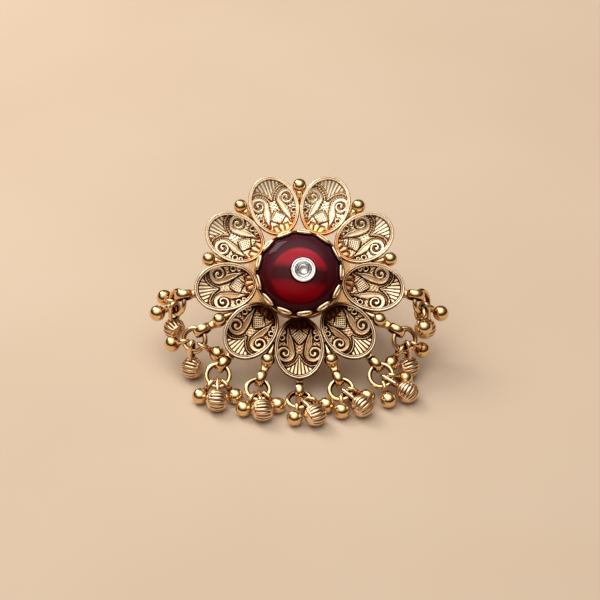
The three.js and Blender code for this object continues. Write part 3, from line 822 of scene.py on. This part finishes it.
def loop_centre(drop):
    """Where a drop's loop is centred, down from the middle of the wire that carries it. Its far end
    stands off that wire by the drop's slack."""
    return drop["loop"] + drop["straight"] - (JUMP_WIRE + HOOK_WIRE + drop["slack"])


def drop_length(drop):
    """From the carrying wire's middle to the ball's centre."""
    foot = loop_centre(drop) + drop["loop"] + drop["straight"]
    return foot + drop["collar_height"] + drop["ball"] - SOLDER


def drop_loop(drop):
    """A drop's own loop with its shade, upright in the plane of y and z, with its hole along x."""
    upright = np.array([[0, 1, 0], [0, 0, 1], [1, 0, 0]])
    wire, shade = link(drop["loop"], HOOK_WIRE + WIRE_FULL, 40, 16, drop["straight"])
    return placed(wire, lambda p: p @ upright + [0, 0, loop_centre(drop)]), shade


def plain_drop_shell():
    """A polished ball under a turned collar that joins it to its loop. Gives its shade too: oxide
    stays beside the collar."""
    r, c, h = PLAIN["ball"], PLAIN["collar"], PLAIN["collar_height"]
    start = np.arcsin(c / r)
    a = np.linspace(start, np.pi, 22)[1:-1]
    neck = [
        # radius, height, shade
        (c - 0.1, -r - h + 0.02, 0.7),
        (c, -r - h + 0.12, 0.2),
        (c - 0.02, -r - h + 0.24, 0.5),
        (c - 0.12, -r - 0.02, 0.9),
    ]
    arc = np.stack([r * np.sin(a), -r * np.cos(a), 0.7 * (1 - smooth(0.0, 0.5, a - start))], -1)
    profile = np.vstack([neck, arc])
    body = turned(profile[:, :2], 36, -r - h, r)
    loop, loop_shade = drop_loop(PLAIN)
    shade = np.concatenate([loop_shade, np.repeat(profile[:, 2], 36), [0.7, 0.0]])
    return joined([loop, placed(body, lambda p: p + [0, 0, drop_length(PLAIN)])]), shade


FLUTES = 16
FLUTE_DEPTH = 0.2
FLUTE_SHADE = 0.75
BEAD_SHADE = 0.12  # of the oxide that is left all over a fluted bead and its loop
LIP = 0.06  # how far the ridges round the caps stand proud
FLUTED_TO = np.radians(46)  # latitude where the grooves run out into the smooth caps
RUN_IN = 0.22  # radians of latitude over which they do so


def fluted_drop_shell():
    """A melon bead: a ball whose poles lie along x, with rounded ribs between sharp grooves that fade
    towards its smooth caps. Gives its shade too: oxide stays in the grooves."""
    ball_radius = FLUTED["ball"]
    a = around(FLUTES * 10)
    lat = np.linspace(-np.pi / 2, np.pi / 2, 50)[1:-1, None]
    rib = np.abs(np.sin(a * FLUTES / 2)) ** 0.6
    window = 1 - smooth(FLUTED_TO - RUN_IN, FLUTED_TO, np.abs(lat))
    lip = LIP * (bump(np.abs(lat) - FLUTED_TO - 0.06, 0.09) - 1)
    radius = ball_radius - FLUTE_DEPTH * (1 - rib) * window + lip
    x = radius * np.sin(lat)
    y = radius * np.cos(lat) * np.cos(a)
    z = radius * np.cos(lat) * np.sin(a)
    pole = ball_radius - LIP
    bead = skin(np.stack([x, y, z], -1), first=[-pole, 0, 0], last=[pole, 0, 0])
    groove_shade = FLUTE_SHADE * (1 - smooth(0.35, 0.85, rib)) * window
    loop, loop_shade = drop_loop(FLUTED)
    shade = BEAD_SHADE + np.concatenate([groove_shade.ravel(), [0, 0], loop_shade])
    return joined([placed(bead, lambda p: p + [0, 0, drop_length(FLUTED)]), loop]), shade


def compass(aim, slope):
    """A direction: aim from above, slope down from level, in degrees."""
    aim, slope = np.radians([aim, slope])
    return np.array([np.cos(slope) * np.cos(aim), np.cos(slope) * np.sin(aim), -np.sin(slope)])


def lay_ring(loop, aim, slope):
    """Where a jump ring lies: its plane holds its band loop's hole and its aim. Gives its centre and
    its axes along, down and normal as rows."""
    circle = TIP_CIRCLE if at_tip(loop) else GRANULE_LOOP_CIRCLE
    c, s = np.cos(np.radians(loop)), np.sin(np.radians(loop))
    hole = HEAD_TURN @ [-s, c, 0]
    down = compass(aim, slope)
    along = unit(hole - down * (hole @ down))
    centre = on_head(np.array([circle * c, circle * s, LOOP_HEIGHT])) + down * (JUMP_SEAT + JUMP_RADIUS)
    return centre, np.array([along, down, np.cross(along, down)])


SETTLE_ROUNDS = 8  # in which a drop's place on its ring and its slope come to agree


def lay_drop(ring, aim, drop, steepest):
    """Where a drop lies: it slides round its jump ring until it pulls straight out, and its ball
    comes to the floor where it can reach it. Gives its place and its axes as rows."""
    centre, (_, down, normal) = ring
    point = centre + down * JUMP_RADIUS
    for _ in range(SETTLE_ROUNDS):
        reach = np.clip((point[2] - drop["ball"]) / drop_length(drop), -1, np.sin(np.radians(steepest)))
        way = compass(aim, np.degrees(np.arcsin(reach)))
        point = centre + unit(way - normal * (way @ normal)) * JUMP_RADIUS
    hole = unit(np.cross(normal, way))
    return point, np.array([hole, np.cross(way, hole), way])


def laid(shell, place):
    """A shell carried to a place: its axes first, then its point."""
    point, axes = place
    return placed(shell, lambda points: points @ axes + point)


# ---------------------------------------------------------------- materials

def linear(hex_colour):
    """An sRGB hex colour as linear RGBA."""
    srgb = np.array([int(hex_colour[i:i + 2], 16) for i in (1, 3, 5)]) / 255
    rgb = np.where(srgb <= 0.04045, srgb / 12.92, ((srgb + 0.055) / 1.055) ** 2.4)
    return (*rgb.tolist(), 1.0)


def feed(made, **links):
    """Feeds a node's sockets from other nodes' outputs. A link's name is its socket's, with _ for a
    space, or _ and the socket's number."""
    for key, source in links.items():
        name = key.replace("_", " ")
        socket = made.inputs[name] if name in made.inputs else made.inputs[int(key[1:])]
        made.id_data.links.new(source, socket)


def node(tree, kind, settings=None, **links):
    """Adds a shader node. settings are its properties, its sockets' values by name or number, or the
    stops of a colour ramp, each a place and a hex colour. links feed its sockets."""
    made = tree.nodes.new("ShaderNode" + kind)
    for key, value in (settings or {}).items():
        if key == "stops":
            elements = made.color_ramp.elements
            while len(elements) < len(value):
                elements.new(0.5)
            for element, (place, colour) in zip(elements, value):
                element.position = place
                element.color = linear(colour)
        elif isinstance(key, int) or key in made.inputs:
            made.inputs[key].default_value = value
        else:
            setattr(made, key, value)
    feed(made, **links)
    return made


def finish(name, settings):
    """A material with one Principled shader. Gives the material, its tree and the shader."""
    material = bpy.data.materials.new(name)
    material.use_nodes = True
    tree = material.node_tree
    shader = tree.nodes["Principled BSDF"]
    for key, value in settings.items():
        shader.inputs[key].default_value = value
    return material, tree, shader


# Sizes of the finishes' patterns, in millimetres.
RUBBING = 2.2  # the patches in which oxide is rubbed back
MOULD_GRAIN = 0.22  # the mould's grain, drawn coarser than it is so that it shows
TUMBLING = 1.6  # the patches of handling marks
BURNISHING = 0.7  # the waves that the burnisher leaves
BOARD_CLOUD = 60  # the slow change of the board's tone


def per_mm(size):
    """A texture scale in 1/m whose pattern repeats about once every so many millimetres."""
    return 1 / (size * MM)


def antiqued_gold():
    """Gold plating over a lost-wax brass casting, darkened and rubbed back: pale polished heights,
    dark brown oxide in the recesses, painted light and shade from petal to petal and painted shadow
    under the setting and its lobes, a coppery warmth that is the metal's own tone on the setting and
    the fluted beads and a painted warm reflection at the petals' inner ends, and the faint grain that
    the mould leaves."""
    material, tree, shader = finish("antiqued_gold_plating", {"Metallic": 1.0})
    place = node(tree, "TexCoord").outputs["Object"]
    # shade: oxide in the recesses, with painted light, painted shade and painted shadow where the pieces
    # carry it
    shade = node(tree, "Attribute", {"attribute_name": "shade"}).outputs["Fac"]
    warm = node(tree, "Attribute", {"attribute_name": "warm"}).outputs["Fac"]
    patches = node(tree, "TexNoise", {"Scale": per_mm(RUBBING), "Detail": 4.0}, Vector=place).outputs["Fac"]
    grain = node(tree, "TexNoise", {"Scale": per_mm(MOULD_GRAIN), "Detail": 3.0}, Vector=place).outputs["Fac"]
    # the oxide is rubbed back unevenly, in patches of a few millimetres
    uneven = node(tree, "MapRange", {
        "From Min": 0.3,
        "From Max": 0.7,
        "To Min": -0.12,
        "To Max": 0.12,
    }, Value=patches).outputs["Result"]
    dark = node(tree, "Math", {"operation": "ADD", "use_clamp": True}, _0=shade, _1=uneven).outputs[0]
    plated = node(tree, "ValToRGB", {"stops": [
        (0.0, "#FAEDD4"), (0.25, "#E6CFAC"), (0.5, "#AC8259"), (0.75, "#663E20"), (1.0, "#2C1206"),
    ]}, Fac=dark).outputs["Color"]
    # the coppery colours that warm mixes in: the metal's own tone, and at the petals' inner ends a painted
    # warm reflection
    thin = node(tree, "ValToRGB", {"stops": [
        (0.0, "#F2B878"), (0.4, "#C07A40"), (0.7, "#6A3416"), (1.0, "#2A0F06"),
    ]}, Fac=dark).outputs["Color"]
    colour = node(tree, "Mix", {"data_type": "RGBA"}, Factor=warm, _6=plated, _7=thin).outputs[2]
    rough = node(tree, "MapRange", {"To Min": 0.22, "To Max": 0.55}, Value=dark).outputs["Result"]
    cast = node(tree, "Bump", {"Strength": 0.2, "Distance": 0.008 * MM}, Height=grain)
    feed(shader, Base_Color=colour, Roughness=rough, Normal=cast.outputs["Normal"])
    return material


def polished_gold():
    """Gold plating over brass, tumbled bright: a mirror with a warm body colour, hardly dulled by
    fine handling marks, with brown oxide left where tumbling can't reach, and painted shade on the
    inner sides of the wire rings and the flat sides of the band loops."""
    material, tree, shader = finish("polished_gold_plating", {"Metallic": 1.0})
    place = node(tree, "TexCoord").outputs["Object"]
    shade = node(tree, "Attribute", {"attribute_name": "shade"}).outputs["Fac"]
    patches = node(tree, "TexNoise", {"Scale": per_mm(TUMBLING), "Detail": 5.0}, Vector=place).outputs["Fac"]
    bright = node(tree, "ValToRGB", {"stops": [
        (0.3, "#E6BE88"), (0.7, "#F2D4A4"),
    ]}, Fac=patches).outputs["Color"]
    # oxide in the crevices, and painted shade on the wire rings and the band loops' sides
    oxide = node(tree, "ValToRGB", {"stops": [
        (0.0, "#FFFFFF"), (0.5, "#B88458"), (1.0, "#5A2C10"),
    ]}, Fac=shade).outputs["Color"]
    colour = node(tree, "Mix", {
        "data_type": "RGBA",
        "blend_type": "MULTIPLY",
        "Factor": 1.0,
    }, _6=bright, _7=oxide).outputs[2]
    rough = node(tree, "MapRange", {"To Min": 0.1, "To Max": 0.24}, Value=patches).outputs["Result"]
    feed(shader, Base_Color=colour, Roughness=rough)
    return material


def bright_silver():
    """Polished silver: near white, with the slight waviness of a hand-burnished edge."""
    material, tree, shader = finish("burnished_silver", {"Metallic": 1.0, "Base Color": linear("#F6F6F4")})
    place = node(tree, "TexCoord").outputs["Object"]
    wave = node(tree, "TexNoise", {"Scale": per_mm(BURNISHING), "Detail": 2.0}, Vector=place).outputs["Fac"]
    rough = node(tree, "MapRange", {"To Min": 0.12, "To Max": 0.3}, Value=wave).outputs["Result"]
    burnished = node(tree, "Bump", {"Strength": 0.3, "Distance": 0.03 * MM}, Height=wave)
    feed(shader, Roughness=rough, Normal=burnished.outputs["Normal"])
    return material


def red_glass():
    """Deep red glass over burnished foil. The foil's reflections are painted into the colour: a bright
    crimson crescent above, a dark band across the middle and deep red below. Wine-dark glass shows
    round it, with a faint painted plum reflection towards the top, and the polished face mirrors the room."""
    material, tree, shader = finish("foiled_red_glass", {
        "Metallic": 0.35,
        "Specular IOR Level": 0.0,
        "Roughness": 0.22,
        "Coat Weight": 0.22,
        "Coat Roughness": 0.03,
        "Coat IOR": 1.5,
    })
    heart = node(tree, "Attribute", {"attribute_name": "heart"}).outputs["Fac"]
    up_foil = node(tree, "Attribute", {"attribute_name": "up_foil"}).outputs["Fac"]
    facing = node(tree, "Attribute", {"attribute_name": "foil_facing"}).outputs["Vector"]
    # painted reflection of the foil: crimson crescent above, dark band across the middle, deep red below
    foil = node(tree, "ValToRGB", {"stops": [
        (0.02, "#560308"), (0.16, "#7A030C"), (0.32, "#740510"), (0.43, "#3A060A"),
        (0.6, "#36070B"), (0.72, "#86101C"), (0.9, "#8C1220"), (1.0, "#A42036"),
    ]}, Fac=up_foil).outputs["Color"]
    # wine-dark glass, with a faint painted reflection towards the top
    glass = node(tree, "ValToRGB", {"stops": [
        (0.0, "#3E0408"), (0.5, "#420F14"), (1.0, "#3C161E"),
    ]}, Fac=up_foil).outputs["Color"]
    colour = node(tree, "Mix", {"data_type": "RGBA"}, Factor=heart, _6=glass, _7=foil).outputs[2]
    feed(shader, Base_Color=colour, Normal=facing)
    return material


def clear_glass():
    """Clear cut glass: colourless, bright at its facet edges."""
    return finish("clear_cut_glass", {
        "Base Color": linear("#FFFFFF"),
        "Roughness": 0.02,
        "IOR": 1.6,
        "Transmission Weight": 1.0,
    })[0]


def champagne_board():
    """Matt champagne card under the ring: pale, warm and even."""
    material, tree, shader = finish("champagne_board", {"Roughness": 0.75})
    place = node(tree, "TexCoord").outputs["Object"]
    cloud = node(tree, "TexNoise", {"Scale": per_mm(BOARD_CLOUD), "Detail": 2.0}, Vector=place).outputs["Fac"]
    tone = node(tree, "ValToRGB", {"stops": [
        (0.3, "#CBB59D"), (0.7, "#D0BBA4"),
    ]}, Fac=cloud).outputs["Color"]
    feed(shader, Base_Color=tone)
    return material


ANTIQUED = antiqued_gold()
POLISHED = polished_gold()
SILVER = bright_silver()
RED = red_glass()
CLEAR = clear_glass()

# ---------------------------------------------------------------- pieces

def add_piece(name, shell, material, slot, replaces, flat=False, **fields):
    """Puts a shell, in mm in the row frame, into the scene as a piece that rides on the ring. fields
    are attributes that its material reads: a number or a vector for each point."""
    points, quads, triangles = shell
    mesh = bpy.data.meshes.new(name)
    mesh.from_pydata((points * MM).tolist(), [], quads.tolist() + triangles.tolist())
    mesh.materials.append(material)
    for field, values in fields.items():
        kind, key = ("FLOAT", "value") if values.ndim == 1 else ("FLOAT_VECTOR", "vector")
        mesh.attributes.new(field, kind, "POINT").data.foreach_set(key, values.astype(np.float32).ravel())
    if not flat:
        mesh.shade_smooth()
    piece = bpy.data.objects.new(name, mesh)
    bpy.context.scene.collection.objects.link(piece)
    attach(piece, "root")
    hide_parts(*replaces)


def head_piece(name, shell, material, slot, replaces, **fields):
    """Adds a piece whose shell is in the head's frame."""
    add_piece(name, placed(shell, on_head), material, slot, replaces, **fields)


# The petals' painted light and shade change with how far up the flower they point: the upper ones are
# painted lighter, and the lower ones darker, with painted shadow under the setting.
UP_PAINTED_LIGHT = 0.26  # painted light: how much lighter the topmost petal is painted than those at the sides
DOWN_PAINTED_SHADE = 0.16  # painted shade: how much darker the lowest petal is painted
SETTING_PAINTED_SHADOW = 0.8  # and painted shadow: how much darker again at its inner end, under the setting
SIDE_WARMTH = 0.6  # share of the painted warm reflection at its inner end that a petal at the side shows
UP_WARMTH = 0.4  # how much more the topmost shows
CAST_WARMTH = 0.38  # of the setting and the fluted beads

petal, petal_shade, petal_warm = petal_shell()
granule = granule_shell()
granules = []
for i in range(PETAL_COUNT):
    angle = PETAL_FIRST + i * PETAL_STEP
    shell = placed(petal, lambda p: turned_z(p, angle))
    up = np.sin(np.radians(angle))
    # painted light on the upper petals, painted shade on the lower ones and painted shadow at their inner
    # ends
    painted_tilt_shade = UP_PAINTED_LIGHT * min(-up, 0) + max(-up, 0) * (DOWN_PAINTED_SHADE + SETTING_PAINTED_SHADOW * petal_warm)
    shade = np.clip(petal_shade + painted_tilt_shade, 0, 1)
    # warm inner ends: a painted reflection of the setting and stone, strongest on the upper petals
    head_piece(f"petal_{i + 1}", shell, ANTIQUED, "gold", ["ring_mount"], shade=shade,
               warm=petal_warm * (SIDE_WARMTH + UP_WARMTH * up))
    granules.append(placed(granule, lambda p: turned_z(p, angle + PETAL_STEP / 2)))
head_piece("granules", joined(granules), POLISHED, "gold", ["ring_mount"])

tip_loop, loop_shade = band_loop_shell(TIP_CIRCLE, PETAL_INNER + PETAL_LENGTH)
granule_loop, _ = band_loop_shell(GRANULE_LOOP_CIRCLE, GRANULE_CIRCLE + GRANULE_RADIUS)
loops = []
for row in CLUSTERS:
    loop = tip_loop if at_tip(row[0]) else granule_loop
    loops.append(placed(loop, lambda p: turned_z(p, row[0])))
head_piece("band_loops", joined(loops), POLISHED, "gold", ["ring_mount"],
           shade=np.tile(loop_shade, len(CLUSTERS)))

bezel, bezel_shade = bezel_shell()
lobe, lobe_shade = lobe_shell()
lobes = [placed(lobe, lambda p: turned_z(p, i * 360 / BEZEL_LOBES)) for i in range(BEZEL_LOBES)]
shades = np.concatenate([bezel_shade, *[lobe_shade] * BEZEL_LOBES])
head_piece("bezel", joined([bezel, *lobes]), ANTIQUED, "gold", ["ring_mount"], shade=shades,
           warm=np.full(len(shades), CAST_WARMTH))
head_piece("finger_band", band_shell(), POLISHED, "gold", ["ring_mount"])

stone, heart, up_foil, foil_facing = stone_shell()
head_piece("red_cabochon", stone, RED, "red_glass", ["center_stone"], heart=heart, up_foil=up_foil,
           foil_facing=foil_facing)
head_piece("small_collet", collet_shell(), SILVER, "silver", ["accent_collet"])
head_piece("small_brilliant", accent_shell(), CLEAR, "clear_glass", ["accent_stone"], flat=True)

jump_ring, link_shade = link(JUMP_RADIUS, JUMP_WIRE + WIRE_FULL, 64, 18)
plain_drop, plain_shade = plain_drop_shell()
fluted_drop, fluted_shade = fluted_drop_shell()
for i, (loop, ring_aim, ring_slope, fluted, left, right, side_slope) in enumerate(CLUSTERS):
    ring = lay_ring(loop, ring_aim, ring_slope)
    add_piece(f"link_{i + 1}", laid(jump_ring, ring), POLISHED, "pale_gold", [f"jump_ring_{i + 1}"],
              shade=link_shade)
    place = lay_drop(ring, fluted, FLUTED, STEEPEST_MIDDLE)
    add_piece(f"fluted_bead_{i + 1}", laid(fluted_drop, place), ANTIQUED, "gold", [f"fluted_drop_{i + 1}"],
              shade=fluted_shade, warm=np.full(len(fluted_shade), CAST_WARMTH))
    for side, aim in enumerate((left, right)):
        number = 2 * i + side + 1
        place = lay_drop(ring, aim, PLAIN, side_slope)
        add_piece(f"ball_{number}", laid(plain_drop, place), POLISHED, "pale_gold", [f"plain_drop_{number}"],
                  shade=plain_shade)

# ---------------------------------------------------------------- floor, light and camera

FLOOR_HALF = 0.6  # half the floor's side, in metres
corners = [(x * FLOOR_HALF, y * FLOOR_HALF, 0) for x, y in [(-1, -1), (1, -1), (1, 1), (-1, 1)]]
floor_mesh = bpy.data.meshes.new("floor")
floor_mesh.from_pydata(corners, [], [(0, 1, 2, 3)])
floor_mesh.materials.append(champagne_board())
floor = bpy.data.objects.new("floor", floor_mesh)
bpy.context.scene.collection.objects.link(floor)


def soft_light(name, place, sides, radiance, colour):
    """A flat soft box that faces the ring. Its power gives its face a radiance in W/m2/sr."""
    light = bpy.data.lights.new(name, "AREA")
    light.shape = "RECTANGLE"
    light.size, light.size_y = sides
    light.energy = radiance * np.pi * sides[0] * sides[1]
    light.color = linear(colour)[:3]
    lamp = bpy.data.objects.new(name, light)
    lamp.location = place
    lamp.rotation_euler = (Vector((0, 0, 0.01)) - Vector(place)).to_track_quat("-Z", "Y").to_euler()
    bpy.context.scene.collection.objects.link(lamp)


SOFT_BOXES = [
    # name, place and sides in metres, radiance, colour
    ("key", (-0.24, 0.22, 0.33), (0.2, 0.2), 8.0, "#FFFAF2"),
    ("upper", (-0.02, 0.02, 0.36), (0.34, 0.34), 0.6, "#FFFAF2"),
]
for box in SOFT_BOXES:
    soft_light(*box)

# A dim warm room, with one soft bright glow overhead.
GLOW_TOWARD = (-0.14, -0.2, 0.97)
GLOW_STRENGTH = 1.9
world = bpy.data.worlds.new("warm_room")
bpy.context.scene.world = world
world.use_nodes = True
tree = world.node_tree
way = node(tree, "TexCoord").outputs["Generated"]
up = node(tree, "SeparateXYZ", Vector=way).outputs["Z"]
toward = node(tree, "VectorMath", {"operation": "DOT_PRODUCT", 1: GLOW_TOWARD}, _0=way).outputs["Value"]
walls = node(tree, "ValToRGB", {"stops": [
    (0.0, "#2C1608"), (0.35, "#4C3621"), (0.75, "#847C72"), (1.0, "#A4A19D"),
]}, Fac=up).outputs["Color"]
glow = node(tree, "ValToRGB", {"stops": [
    (0.6, "#000000"), (0.82, "#A8A5A2"), (0.96, "#FFFDFA"),
]}, Fac=toward).outputs["Color"]
walls = node(tree, "Background", {"Strength": 1.0}, Color=walls).outputs[0]
glow = node(tree, "Background", {"Strength": GLOW_STRENGTH}, Color=glow).outputs[0]
both = node(tree, "AddShader", _0=walls, _1=glow).outputs[0]
feed(tree.nodes["World Output"], Surface=both)
bpy.context.scene.view_settings.view_transform = "Standard"

CAMERA_ELEVATION = np.radians(36)
CAMERA_DISTANCE = 373.6
VIEW_DROP = 4.007  # how far below the head's centre the view is centred
VIEW_SHIFT = 0.085  # and how far right of it
LENS = 132
SENSOR_WIDTH = 36

back = np.array([0, -np.cos(CAMERA_ELEVATION), np.sin(CAMERA_ELEVATION)])
rise = np.array([0, np.sin(CAMERA_ELEVATION), np.cos(CAMERA_ELEVATION)])
target = HEAD - rise * VIEW_DROP + [VIEW_SHIFT, 0, 0]
camera_data = bpy.data.cameras.new("camera")
camera_data.lens = LENS
camera_data.sensor_width = SENSOR_WIDTH
camera_data.clip_start = 0.01
camera = bpy.data.objects.new("camera", camera_data)
camera.location = (target + back * CAMERA_DISTANCE) * MM
camera.rotation_euler = Vector(-back).to_track_quat("-Z", "Y").to_euler()
bpy.context.scene.collection.objects.link(camera)
bpy.context.scene.camera = camera
